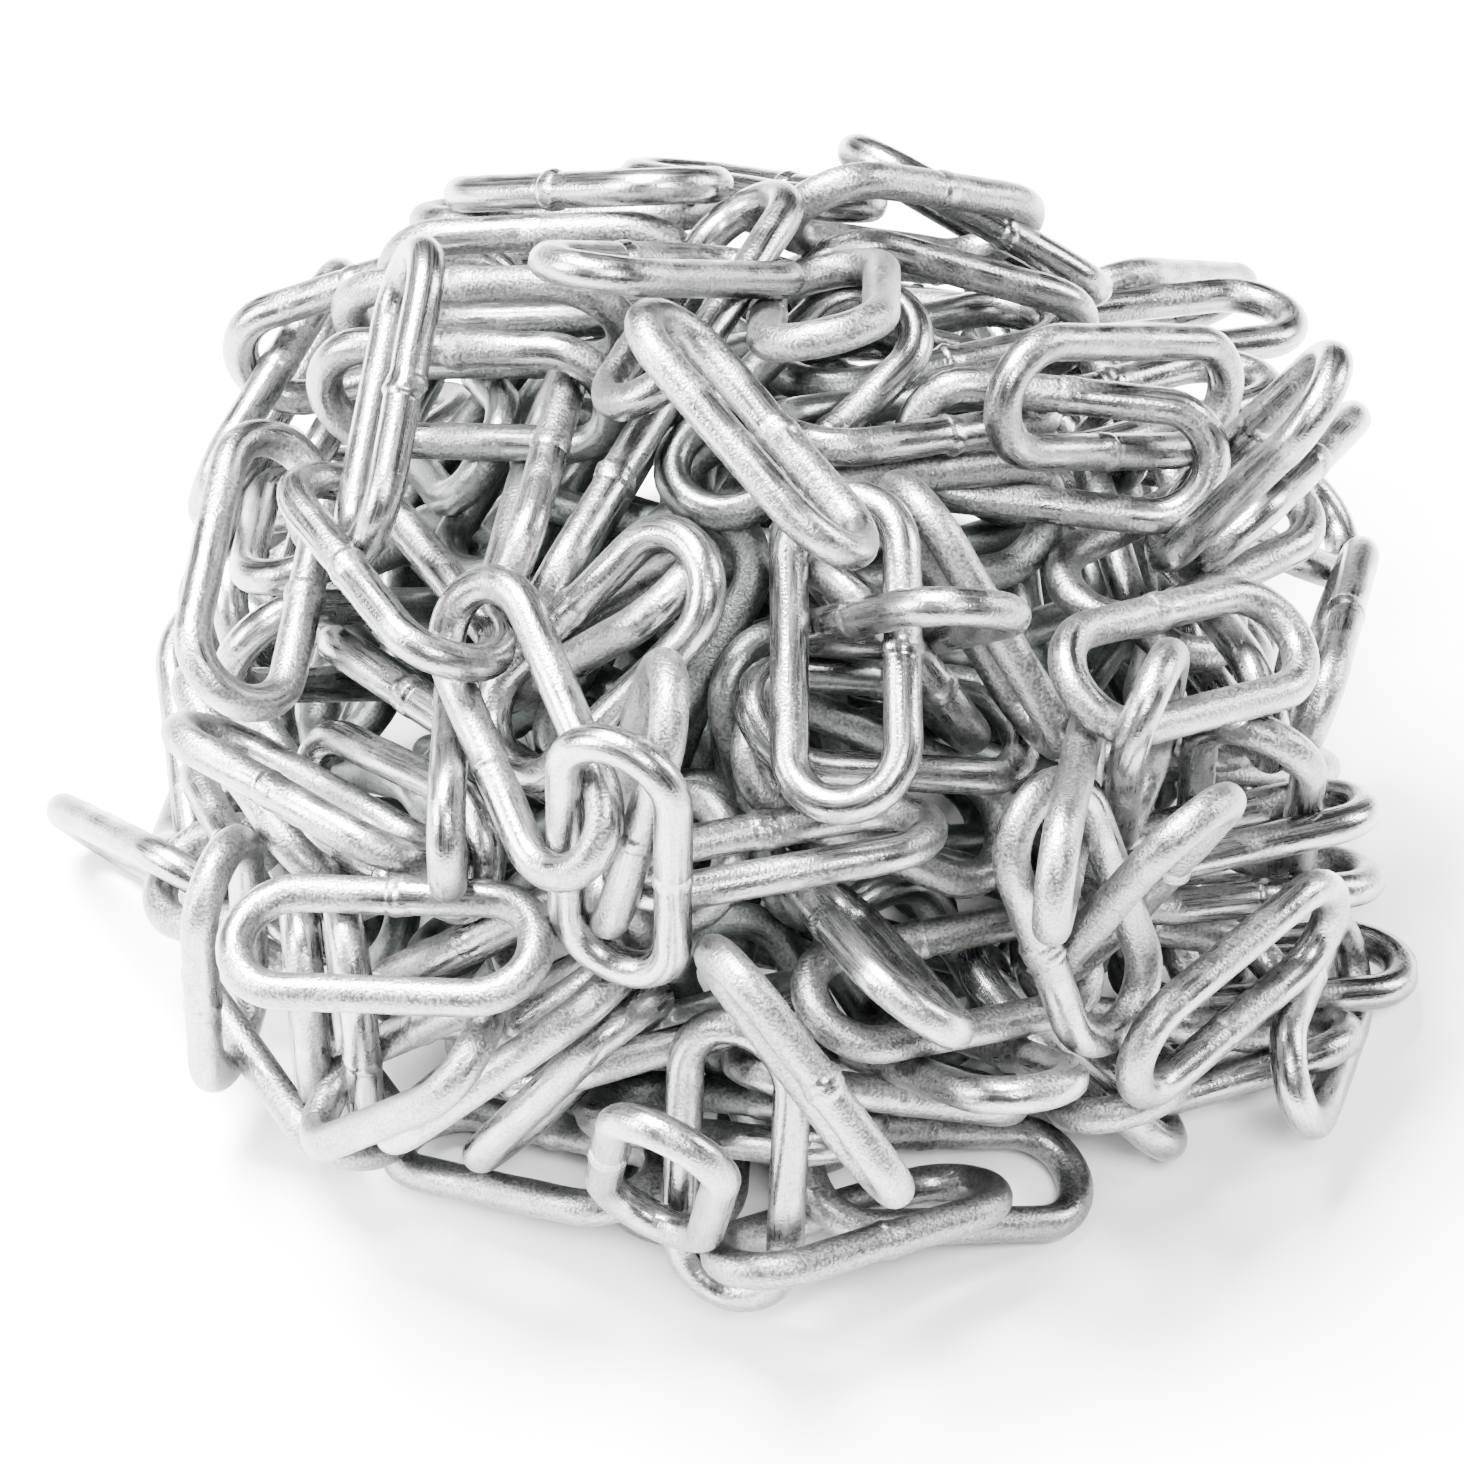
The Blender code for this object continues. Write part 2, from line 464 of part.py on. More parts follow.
class Heap:
    """The links as rigid rings that push each other apart."""

    def __init__(self):
        front, front_axes = front_links()
        back, back_axes, back_hooks = back_links()
        inner, inner_axes = inner_links()
        self.centres = np.vstack([front, back, inner])
        self.axes = squared(np.concatenate([front_axes, back_axes, inner_axes]))
        self.places = self.centres.copy()
        self.aims = self.axes.copy()
        count = len(self.centres)
        self.is_front = np.arange(count) < len(front)
        ease = np.tile(np.eye(3), (count, 1, 1))
        sideways = SIDEWAYS_EASE * np.eye(3) + (1 - SIDEWAYS_EASE) * np.outer(TOWARD_EYE, TOWARD_EYE)
        ease[self.is_front] = sideways
        self.ease = ease
        self.fused = np.zeros((count, count), dtype=bool)
        self.depth_rank = np.full(count, BACK_RANK)
        self.depth_rank[:len(front)] = [laid.under for laid in FRONT]
        self.depth_rank[len(front) + len(back):] = INNER_RANK
        self.hooked = np.zeros((count, count), dtype=bool)
        for i, _, j, _ in front_hooks():
            self.hooked[min(i, j), max(i, j)] = True
        for i, j in back_hooks:
            self.hooked[len(front) + i, len(front) + j] = True

    def threaded(self, first, second):
        """Which pairs are linked: where the second's ring crosses the first's opening once."""
        ring = np.einsum("nij,mj->nmi", self.axes[second], PATH) + self.centres[second][:, None]
        ring = np.einsum("nmi,nij->nmj", ring - self.centres[first][:, None], self.axes[first])
        after = np.roll(ring, -1, axis=1)
        rise = after[:, :, 2] - ring[:, :, 2]
        crosses = (ring[:, :, 2] > 0) != (after[:, :, 2] > 0)
        part = np.where(crosses, -ring[:, :, 2] / np.where(crosses, rise, 1.0), 0.0)
        spot = ring + (after - ring) * part[:, :, None]
        beyond = np.maximum(np.abs(spot[:, :, 0]) - CROWN_CENTRE, 0.0)
        inside = np.hypot(beyond, spot[:, :, 1]) < CROWN_RADIUS
        return np.sum(crosses & inside, axis=1) % 2 == 1

    def untangle(self):
        """Lifts apart the links that pass through each other without hanging in each other."""
        for _ in range(UNTANGLE_ROUNDS):
            first, second = near_pairs(self.centres, 2 * HALF_LENGTH)
            wrong = self.threaded(first, second) & ~self.hooked[first, second]
            if not wrong.any():
                break
            first = first[wrong]
            second = second[wrong]
            nearer = (self.centres[first] - self.centres[second]) @ TOWARD_EYE > 0
            rank_gap = self.depth_rank[second] - self.depth_rank[first]
            nearer = np.where(rank_gap == 0, nearer, rank_gap > 0)
            way = np.where(nearer, 1.0, -1.0)[:, None] * TOWARD_EYE
            both_back = ~self.is_front[first] & ~self.is_front[second]
            apart = self.centres[first] - self.centres[second]
            apart /= np.linalg.norm(apart, axis=1)[:, None]
            way[both_back] = apart[both_back]
            np.add.at(self.centres, first, UNTANGLE_STEP * way)
            np.add.at(self.centres, second, -UNTANGLE_STEP * way)

    def rehook(self):
        """Shifts a link in depth until it hangs in its neighbour, where it has come off."""
        for i, _, j, _ in front_hooks():
            pair = np.array([min(i, j)]), np.array([max(i, j)])
            here = self.centres[i].copy()
            for shift in HOOK_SHIFTS:
                self.centres[i] = here + shift * TOWARD_EYE
                if self.threaded(*pair)[0]:
                    break
            else:
                self.centres[i] = here
                self.hooked[pair] = False

    def push_apart(self, gain):
        """One round in which every touch moves and turns the two links it is between."""
        count = len(self.centres)
        begin = np.einsum("nij,mj->nmi", self.axes, PATH) + self.centres[:, None]
        end = np.roll(begin, -1, axis=1)
        first, second = near_pairs(self.centres, 2 * HALF_LENGTH + CLEAR)
        p, q, gap, size = nearest_on_segments(begin[first][:, :, None], end[first][:, :, None],
                                              begin[second][:, None], end[second][:, None])
        fused = self.fused[first, second]
        wanted = np.where(fused, FUSED, CLEAR)[:, None, None]
        least = size.reshape(len(first), -1).min(axis=1)[:, None, None]
        active = (size < wanted) | (fused[:, None, None] & (size <= least))
        k, m, n = np.nonzero(active)
        direction = gap[k, m, n] / np.maximum(size[k, m, n], 1e-6)[:, None]
        short = wanted[k, 0, 0] - size[k, m, n]
        short = np.clip(short, -MOST_PULL, MOST_PUSH)
        one = first[k]
        two = second[k]
        arm_one = p[k, m, n] - self.centres[one]
        arm_two = q[k, m, n] - self.centres[two]
        turn_one = np.cross(arm_one, direction)
        turn_two = np.cross(arm_two, direction)
        move_one = np.einsum("nij,nj->ni", self.ease[one], direction)
        move_two = np.einsum("nij,nj->ni", self.ease[two], direction)
        give = np.sum(move_one * direction, axis=1) + np.sum(move_two * direction, axis=1)
        give += TURN_EASE * (np.sum(turn_one ** 2, axis=1) + np.sum(turn_two ** 2, axis=1))
        push = (short / give)[:, None]
        moves = np.zeros((count, 3))
        turns = np.zeros((count, 3))
        touches = np.zeros(count)
        for index, move, turn, sign in ((one, move_one, turn_one, 1), (two, move_two, turn_two, -1)):
            np.add.at(moves, index, sign * push * move)
            np.add.at(turns, index, sign * push * turn * TURN_EASE)
            np.add.at(touches, index, 1.0)
        self.push_off_ground(moves, turns, touches)
        share = gain / np.maximum(touches, 1.0)[:, None] ** CROWDING
        self.centres = self.centres + moves * share
        self.axes = turned(self.axes, turns * share)
        return short.max() if len(short) else 0.0

    def push_off_ground(self, moves, turns, touches):
        """Adds the pushes of the floor and of the core."""
        points = np.einsum("nij,mj->nmi", self.axes, TOUCH_POINTS) + self.centres[:, None]
        arms = points - self.centres[:, None]
        floor_short = ON_FLOOR - points[:, :, 2]
        core_half = CORE_HALF + OFF_CORE
        ratio = np.linalg.norm(points / core_half, axis=2)
        core_short = (1.0 - ratio) * np.linalg.norm(points, axis=2) * CORE_EASE
        out = points / core_half ** 2
        out /= np.linalg.norm(out, axis=2)[:, :, None]
        up = np.zeros_like(out)
        up[:, :, 2] = 1.0
        for short, direction in ((floor_short, up), (core_short, out)):
            k, m = np.nonzero(short > 0)
            way = direction[k, m]
            turn = np.cross(arms[k, m], way)
            push = np.minimum(short[k, m], MOST_PUSH) / (1.0 + TURN_EASE * np.sum(turn ** 2, axis=1))
            np.add.at(moves, k, push[:, None] * way)
            np.add.at(turns, k, push[:, None] * turn * TURN_EASE)
            np.add.at(touches, k, 1.0)

    def draw_back(self, strength):
        """Draws the links towards where they were laid, front links only across the view."""
        away = self.places - self.centres
        across = away - (away @ TOWARD_EYE)[:, None] * TOWARD_EYE
        pull = np.where(self.is_front[:, None], across, away)
        self.centres = self.centres + strength * HOLD_PLACE * pull
        turn = 0.5 * sum(np.cross(self.axes[:, :, i], self.aims[:, :, i]) for i in range(3))
        self.axes = turned(self.axes, strength * HOLD_TURN * turn)

    def seat(self, step):
        """Lets the links sink: into the face in front, and inwards and down at the back."""
        down = np.zeros_like(self.centres)
        low = self.centres[:, 2] < LOW
        down[self.is_front] = -TOWARD_EYE
        inward = -self.centres / INWARD_FLATNESS
        inward /= np.linalg.norm(inward, axis=1)[:, None]
        down[~self.is_front] = inward[~self.is_front]
        down[low & ~self.is_front] *= LOW_BACK_PULL
        down[low] += (0.0, 0.0, -1.0)
        down[low & self.is_front] = (0.0, 0.0, -1.0)
        self.centres = self.centres + step * down

    def settle(self):
        """Runs the settling, and joins neighbours into runs on the way."""
        self.rehook()
        self.untangle()
        for _ in range(SPREAD_ROUNDS):
            self.draw_back(1.0)
            self.push_apart(GAIN)
        for _ in range(SEAT_ROUNDS):
            self.seat(SEAT_STEP)
            self.draw_back(SEAT_HOLD)
            self.push_apart(GAIN)
            self.steady()
        runs = self.joined_runs()
        for _ in range(FUSE_ROUNDS):
            self.seat(SEAT_STEP / 2)
            self.draw_back(FUSE_HOLD)
            self.push_apart(1.0)
            self.steady()
        for _ in range(CLEAN_ROUNDS):
            worst = self.push_apart(1.0)
            self.steady()
            if worst < SETTLED:
                break
        self.centres = np.round(self.centres, 2)
        self.axes = squared(np.round(self.axes, 5))
        return runs

    def steady(self):
        """Rounds the places, so that every machine settles the heap alike."""
        self.centres = np.round(self.centres, 6)
        self.axes = squared(np.round(self.axes, 8))

    def joined_runs(self):
        """Groups touching neighbours into runs, so that the heap has no more solids than NODES."""
        count = len(self.centres)
        first, second, gaps = pair_gaps(self.centres, self.axes)
        group = list(range(count))
        size = {g: 1 for g in group}
        groups = count
        for index in np.argsort(np.round(gaps, 3), kind="stable"):
            if groups <= NODES:
                break
            one = group[first[index]]
            two = group[second[index]]
            if one == two or size[one] + size[two] > LONGEST_RUN:
                continue
            self.fused[first[index], second[index]] = True
            size[one] += size[two]
            group = [one if g == two else g for g in group]
            groups -= 1
        runs = {}
        for link, g in enumerate(group):
            runs.setdefault(g, []).append(link)
        return list(runs.values())


def zinc_material(name, finish):
    material = bpy.data.materials.new(name)
    material.use_nodes = True
    shader = material.node_tree.nodes["Principled BSDF"]
    for socket, value in finish.items():
        shader.inputs[socket].default_value = value
    return material


def link_mesh():
    """The wire of one link, swept round its centre line by a beveled curve."""
    curve = bpy.data.curves.new("link_wire", "CURVE")
    curve.dimensions = "3D"
    curve.bevel_depth = CORNER_RADIUS * MM
    curve.bevel_resolution = BEVEL_RESOLUTION
    spline = curve.splines.new("POLY")
    spline.points.add(len(PATH) - 1)
    for point, place in zip(spline.points, PATH):
        point.co = (*(place * MM), 1.0)
    spline.use_cyclic_u = True
    guide = bpy.data.objects.new("link_wire", curve)
    bpy.context.scene.collection.objects.link(guide)
    mesh = bpy.data.meshes.new_from_object(guide.evaluated_get(bpy.context.evaluated_depsgraph_get()))
    bpy.data.objects.remove(guide)
    shape = bmesh.new()
    shape.from_mesh(mesh)
    bmesh.ops.remove_doubles(shape, verts=shape.verts, dist=1e-6)
    bmesh.ops.recalc_face_normals(shape, faces=shape.faces)
    shape.to_mesh(mesh)
    shape.free()
    return mesh


def placed_link(wire, name, centre, axes):
    """A copy of the link mesh, moved to where its link lies."""
    matrix = Matrix([
        [axes[0, 0], axes[0, 1], axes[0, 2], centre[0] * MM],
        [axes[1, 0], axes[1, 1], axes[1, 2], centre[1] * MM],
        [axes[2, 0], axes[2, 1], axes[2, 2], centre[2] * MM],
        [0.0, 0.0, 0.0, 1.0],
    ])
    mesh = wire.copy()
    mesh.transform(matrix)
    placed = bpy.data.objects.new(name, mesh)
    bpy.context.scene.collection.objects.link(placed)
    return placed


def close_pockets(mesh, fewest):
    """Fills the small hollows that a union leaves in the wire, shells of too few corners to be a link."""
    shape = bmesh.new()
    shape.from_mesh(mesh)
    seen = set()
    pockets = []
    for corner in shape.verts:
        if corner in seen:
            continue
        shell = [corner]
        seen.add(corner)
        for reached in shell:
            for edge in reached.link_edges:
                beyond = edge.other_vert(reached)
                if beyond not in seen:
                    seen.add(beyond)
                    shell.append(beyond)
        if len(shell) < fewest:
            pockets += shell
    bmesh.ops.delete(shape, geom=pockets, context="VERTS")
    shape.to_mesh(mesh)
    shape.free()


def run_of_links(wire, name, centres, axes, material):
    """One solid: a link, or up to four that touch and are joined where they do."""
    whole = placed_link(wire, name, centres[0], axes[0])
    for centre, turn in zip(centres[1:], axes[1:]):
        extra = placed_link(wire, name + "_next", centre, turn)
        union = whole.modifiers.new("join", "BOOLEAN")
        union.operation = "UNION"
        union.object = extra
        depsgraph = bpy.context.evaluated_depsgraph_get()
        mesh = bpy.data.meshes.new_from_object(whole.evaluated_get(depsgraph))
        whole.modifiers.clear()
        whole.data = mesh
        bpy.data.objects.remove(extra)
        close_pockets(mesh, len(wire.vertices) // 2)
    whole.data.materials.clear()
    whole.data.materials.append(material)
    whole.data.shade_smooth()
    whole.data.set_sharp_from_angle(angle=SHARP_ANGLE)
    return whole


def core(material, shift):
    """The middle of the heap as a plain dome with a flat foot, turned about its upright axis."""
    shape = bmesh.new()
    rim = [shape.verts.new((math.cos(a), 0.0, math.sin(a)))
           for a in (math.pi / 2 * k / CORE_RINGS for k in range(CORE_RINGS + 1))]
    foot = shape.verts.new((0.0, 0.0, 0.0))
    profile = [shape.edges.new((foot, rim[0]))]
    profile += [shape.edges.new((rim[k], rim[k + 1])) for k in range(CORE_RINGS)]
    bmesh.ops.spin(shape, geom=profile + rim + [foot], cent=(0, 0, 0), axis=(0, 0, 1),
                   angle=2 * math.pi, steps=CORE_SIDES, use_merge=True)
    bmesh.ops.remove_doubles(shape, verts=shape.verts, dist=1e-5)
    bmesh.ops.recalc_face_normals(shape, faces=shape.faces)
    half = CORE_HALF * MM
    bmesh.ops.scale(shape, vec=half, verts=shape.verts)
    bmesh.ops.translate(shape, vec=(*(shift * MM), 0.0), verts=shape.verts)
    mesh = bpy.data.meshes.new("hidden_links_core")
    shape.to_mesh(mesh)
    shape.free()
    mesh.materials.append(material)
    dome = bpy.data.objects.new("hidden_links_core", mesh)
    bpy.context.scene.collection.objects.link(dome)


def main():
    for old in list(bpy.data.objects):
        bpy.data.objects.remove(old, do_unlink=True)
    heap = Heap()
    runs = heap.settle()
    zinc = zinc_material("galvanised_zinc", ZINC)
    dark = zinc_material("shaded_zinc", DARK_ZINC)
    # The heap's own axes stand at the middle of its box, on the floor
    wire = link_mesh()
    corners = np.array([v.co for v in wire.vertices]) / MM
    reach = np.einsum("nij,mj->nmi", heap.axes, corners) + heap.centres[:, None]
    middle = (reach.min(axis=(0, 1)) + reach.max(axis=(0, 1))) / 2
    shift = -middle[:2]
    heap.centres[:, :2] += shift
    for number, run in enumerate(runs, start=1):
        run_of_links(wire, f"chain_run_{number:02d}", heap.centres[run], heap.axes[run], zinc)
    core(dark, shift)


if __name__ == "__main__":
    main()
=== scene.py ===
import math
import random

import bmesh
import bpy
import numpy as np
from mathutils import Matrix, Vector, kdtree


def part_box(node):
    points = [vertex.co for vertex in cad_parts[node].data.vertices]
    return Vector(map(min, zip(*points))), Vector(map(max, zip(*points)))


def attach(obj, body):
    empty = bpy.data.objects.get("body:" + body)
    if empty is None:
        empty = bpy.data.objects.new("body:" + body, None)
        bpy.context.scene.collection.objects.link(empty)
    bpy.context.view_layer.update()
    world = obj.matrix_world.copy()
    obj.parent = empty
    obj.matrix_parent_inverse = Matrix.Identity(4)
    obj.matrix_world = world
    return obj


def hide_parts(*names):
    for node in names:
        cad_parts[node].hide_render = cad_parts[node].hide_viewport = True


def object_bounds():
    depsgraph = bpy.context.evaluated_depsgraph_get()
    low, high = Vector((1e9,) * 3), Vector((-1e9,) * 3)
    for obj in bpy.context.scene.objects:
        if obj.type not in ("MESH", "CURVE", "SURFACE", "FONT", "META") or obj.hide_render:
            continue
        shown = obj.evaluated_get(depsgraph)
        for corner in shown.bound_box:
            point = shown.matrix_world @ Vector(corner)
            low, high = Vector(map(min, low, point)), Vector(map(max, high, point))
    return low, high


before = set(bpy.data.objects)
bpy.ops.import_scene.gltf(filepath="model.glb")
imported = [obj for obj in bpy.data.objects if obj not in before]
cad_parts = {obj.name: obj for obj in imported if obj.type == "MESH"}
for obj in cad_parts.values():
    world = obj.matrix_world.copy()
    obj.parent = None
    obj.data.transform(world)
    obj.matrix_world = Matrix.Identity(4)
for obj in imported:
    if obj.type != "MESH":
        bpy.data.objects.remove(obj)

cad_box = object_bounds()
MM = 0.001


# The links that show. Each is a length of 5 mm drawn steel wire, cut, bent to a long oval and
# butt-welded at the middle of one side, and the whole chain is then hot-dipped in zinc. They only
# hang in each other and lie on each other. Sizes are in millimetres.
WIRE_RADIUS = 2.47
CROWN_RADIUS = 7.5
CROWN_CENTRE = 12.5
CROWN_LENGTH = math.pi * CROWN_RADIUS
ROUND_LENGTH = 4 * CROWN_CENTRE + 2 * CROWN_LENGTH
SHARP = math.radians(30.0)
SAME_POINT = 0.001
SAME_CORNER = 0.1
SAME_WAY = 0.99998
SHORTEST_EDGE = 3.0
ALL_CROWN_EDGES = 100.0


def long_edges(node):
    """The sharp edges of a CAD node that are longer than those round a crown, by their two ends."""
    shape = bmesh.new()
    shape.from_mesh(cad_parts[node].data)
    bmesh.ops.remove_doubles(shape, verts=shape.verts, dist=SAME_POINT * MM)
    edges = np.array([
        [np.array(v.co) / MM for v in edge.verts]
        for edge in shape.edges
        if len(edge.link_faces) == 2 and edge.calc_face_angle() > SHARP
        and edge.calc_length() > SHORTEST_EDGE * MM
    ])
    shape.free()
    return edges


def laid_links(node):
    """Where the links of a CAD run lie, as matrices with the long axis X and the width along Y.

    A link's two straight sides are the only place where the faceted wire has long parallel edges.
    """
    edges = long_edges(node)
    lengths = np.linalg.norm(edges[:, 1] - edges[:, 0], axis=1)
    ways = (edges[:, 1] - edges[:, 0]) / lengths[:, None]
    free = np.ones(len(edges), dtype=bool)
    links = []
    for index in np.argsort(-lengths, kind="stable"):
        same = free & (np.abs(ways @ ways[index]) > SAME_WAY)
        free &= ~same
        if lengths[same].sum() < ALL_CROWN_EDGES:
            continue
        turned = np.where((ways[same] @ ways[index] < 0)[:, None], -ways[same], ways[same])
        long_axis = np.average(turned, axis=0, weights=lengths[same])
        long_axis /= np.linalg.norm(long_axis)
        ends = edges[same].reshape(-1, 3)
        along = ends @ long_axis
        corners = []
        for spot in ends - along[:, None] * long_axis:
            if all(np.linalg.norm(spot - kept) > SAME_CORNER for kept in corners):
                corners.append(spot)
        corners = np.array(corners)
        spread = np.linalg.svd(corners - corners.mean(axis=0))[2][0]
        side = (corners - corners.mean(axis=0)) @ spread > 0
        one = corners[side].mean(axis=0)
        two = corners[~side].mean(axis=0)
        width_axis = (one - two) / np.linalg.norm(one - two)
        place = np.eye(4)
        place[:3, 0] = long_axis
        place[:3, 1] = width_axis
        place[:3, 2] = np.cross(long_axis, width_axis)
        place[:3, 3] = (one + two) / 2 + long_axis * (along.min() + along.max()) / 2
        links.append(place)
    return links


def round_the_wire(s):
    """Middle points and outward ways at lengths s along the wire, from the weld round to it again."""
    s = np.mod(s, ROUND_LENGTH)
    x = np.zeros_like(s)
    y = np.zeros_like(s)
    out = np.zeros((len(s), 3))
    first_crown = CROWN_CENTRE
    far_side = first_crown + CROWN_LENGTH
    second_crown = far_side + 2 * CROWN_CENTRE
    last_side = second_crown + CROWN_LENGTH
    near = (s < first_crown) | (s >= last_side)
    x[near] = np.where(s[near] < first_crown, s[near], s[near] - ROUND_LENGTH)
    y[near] = CROWN_RADIUS
    out[near] = (0, 1, 0)
    far = (s >= far_side) & (s < second_crown)
    x[far] = CROWN_CENTRE - (s[far] - far_side)
    y[far] = -CROWN_RADIUS
    out[far] = (0, -1, 0)
    for start, sign in ((first_crown, 1), (second_crown, -1)):
        bend = (s >= start) & (s < start + CROWN_LENGTH)
        angle = math.pi / 2 - (s[bend] - start) / CROWN_RADIUS
        if sign < 0:
            angle = angle + math.pi
        x[bend] = sign * CROWN_CENTRE + CROWN_RADIUS * np.cos(angle)
        y[bend] = CROWN_RADIUS * np.sin(angle)
        out[bend, 0] = np.cos(angle)
        out[bend, 1] = np.sin(angle)
    return np.stack([x, y, np.zeros_like(s)], axis=1), out


# A link's wire has a ring of points at each station: close together at the weld, wider apart
# elsewhere. S is the length along the wire and TURN the angle round it.
WELD_REACH = 3.6
WELD_RINGS = 25
PLAIN_RINGS = 64
WIRE_SIDES = 20
STATIONS = np.concatenate([
    np.linspace(-WELD_REACH, WELD_REACH, WELD_RINGS),
    np.linspace(WELD_REACH, ROUND_LENGTH - WELD_REACH, PLAIN_RINGS + 2)[1:-1],
])
S = STATIONS[:, None]
TURN = math.tau * np.arange(WIRE_SIDES)[None, :] / WIRE_SIDES

TWIST = (0.02, 0.10)
SQUEEZE = (0.02, 0.09)
WELD_OFF_MIDDLE = 0.8
ENDS_OUT_OF_LINE = 0.16
ENDS_BLEND = 3.0
ENDS_STEEPNESS = 4
COLLAR_LIFT = (0.10, 0.34)
COLLAR_HALF_WIDTH = (0.7, 1.4)
COLLAR_STEEPNESS = 6
RIM_WAVES = ((2, 0.45), (5, 0.3))
GROOVE_DEPTH = 0.10
GROOVE_WIDTH = 0.25
LUMPS = (0, 1, 1, 2, 3)
LUMP_CLEAR_OF_WELD = 4
LUMP_SIZE = (0.5, 1.3)
LUMP_HEIGHT = (0.08, 0.30)
RIPPLES = 5
RIPPLE_WAVES = (3, 14)
RIPPLE_TURNS = (0, 3)
RIPPLE_HEIGHT = (0.004, 0.016)


def uneven_bend(middle, out, chance):
    """Moves the middle line a little, because no bent link is quite flat or quite even."""
    for harmonic in (1, 2, 3):
        phase = math.tau * (harmonic * STATIONS / ROUND_LENGTH + chance.random())
        middle[:, 2] += chance.uniform(*TWIST) / harmonic * np.sin(phase)
        middle += out * (chance.uniform(*SQUEEZE) / harmonic * np.cos(phase))[:, None]


def welded_radius(middle, chance):
    """The wire's radius with the weld's low, ragged collar, its two ends a little out of line."""
    weld_at = chance.uniform(-WELD_OFF_MIDDLE, WELD_OFF_MIDDLE)
    lift = chance.uniform(*COLLAR_LIFT)
    half_width = chance.uniform(*COLLAR_HALF_WIDTH)
    ragged = 1
    for waves, share in RIM_WAVES:
        ragged = ragged + share * np.sin(waves * TURN + math.tau * chance.random())
    collar = lift * ragged / (1 + np.exp((np.abs(S - weld_at) - half_width) * COLLAR_STEEPNESS))
    past = STATIONS - weld_at
    step = np.exp(-past ** 2 / ENDS_BLEND ** 2) * np.tanh(past * ENDS_STEEPNESS)
    middle[:, 2] += chance.uniform(-ENDS_OUT_OF_LINE, ENDS_OUT_OF_LINE) * step
    groove_at = weld_at + half_width + GROOVE_WIDTH
    return WIRE_RADIUS + collar - GROOVE_DEPTH * np.exp(-((S - groove_at) / GROOVE_WIDTH) ** 2)


def zinc_lumps(chance):
    """What lumps, runs and faint ripples of zinc add to the radius."""
    added = 0.0
    for _ in range(chance.choice(LUMPS)):
        lump_s = chance.uniform(LUMP_CLEAR_OF_WELD, ROUND_LENGTH - LUMP_CLEAR_OF_WELD)
        lump_turn = chance.uniform(0, math.tau)
        size = chance.uniform(*LUMP_SIZE)
        away = (np.mod(TURN - lump_turn + math.pi, math.tau) - math.pi) * WIRE_RADIUS
        height = chance.uniform(*LUMP_HEIGHT)
        added = added + height * np.exp(-((S - lump_s) ** 2 + away ** 2) / size ** 2)
    for _ in range(RIPPLES):
        waves = chance.randint(*RIPPLE_WAVES)
        turns = chance.randint(*RIPPLE_TURNS)
        phase = math.tau * (waves * S / ROUND_LENGTH + chance.random()) + turns * TURN
        added = added + chance.uniform(*RIPPLE_HEIGHT) * np.sin(phase)
    return added


# What the zinc of each link is like: red is how bright it is, in long patches, green how light the
# whole link is, and blue how deep it lies in the heap: deeper zinc is made rougher and painted darker
# and a little cooler, as painted shade. Depth is told from the core at the heap's middle: 1 is on
# the core's surface.
BRIGHTNESS = (0.12, 0.3, 0.45, 0.6, 0.75, 0.9)
PATCHES = 4
PATCH_WAVES = (1, 4)
PATCH_TURNS = (0, 2)
PATCH_SWING = 0.13
CORE_LOW, CORE_HIGH = (np.array(corner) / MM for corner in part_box("hidden_links_core"))
CORE_MIDDLE = (CORE_LOW + CORE_HIGH) / 2 * (1, 1, 0)
CORE_HALF = (CORE_HIGH - CORE_LOW) / 2 * (1, 1, 2)
SHADE_AND_DULLNESS_FROM = 1.42
FULL_SHADE_AND_DULLNESS = 1.15


def link_finish_and_shade(verts, chance):
    """The finish and painted shade at each point of a link's wire, as a colour."""
    bright = np.full(verts.shape[:2], chance.choice(BRIGHTNESS))
    for _ in range(PATCHES):
        phase = math.tau * (chance.randint(*PATCH_WAVES) * S / ROUND_LENGTH + chance.random())
        bright = bright + PATCH_SWING * np.sin(phase + chance.randint(*PATCH_TURNS) * TURN)
    light = np.full_like(bright, chance.uniform(0.0, 1.0))
    # Painted shade: the deeper a point lies in the heap, the darker its zinc is painted; it is also made
    # rougher.
    from_core = np.linalg.norm((verts - CORE_MIDDLE) / CORE_HALF, axis=-1)
    shade_and_dullness = (SHADE_AND_DULLNESS_FROM - from_core) / (SHADE_AND_DULLNESS_FROM - FULL_SHADE_AND_DULLNESS)
    return np.clip(np.stack([bright, light, shade_and_dullness, np.ones_like(bright)], axis=-1), 0, 1)


# The wire's own coordinates are for the streaks along it. They start further on with each link of a
# run, so that links side by side don't have the same streaks.
LINK_SHIFT = 53.0
LINK_SHIFTS = 97
BOX_LOW, BOX_HIGH = (np.array(corner) / MM for corner in cad_box)


def wire_of_link(place, seed):
    """The vertices of one link's wire, with its finish, painted shade and the wire's own coordinates at
    each.
    """
    chance = random.Random(seed)
    middle, out = round_the_wire(STATIONS)
    uneven_bend(middle, out, chance)
    radius = welded_radius(middle, chance)
    radius = radius + zinc_lumps(chance)
    across = np.cos(TURN)[..., None] * out[:, None, :] + np.sin(TURN)[..., None] * np.array([0, 0, 1.0])
    verts = middle[:, None, :] + radius[..., None] * across
    verts = np.clip(verts @ place[:3, :3].T + place[:3, 3], BOX_LOW, BOX_HIGH)
    finish_and_shade = link_finish_and_shade(verts, chance)
    wire = np.stack(np.broadcast_arrays(
        np.cos(TURN),
        np.sin(TURN),
        S / WIRE_RADIUS + LINK_SHIFT * (seed % LINK_SHIFTS),
    ), axis=-1)
    return verts.reshape(-1, 3) * MM, finish_and_shade.reshape(-1, 4), wire.reshape(-1, 3)


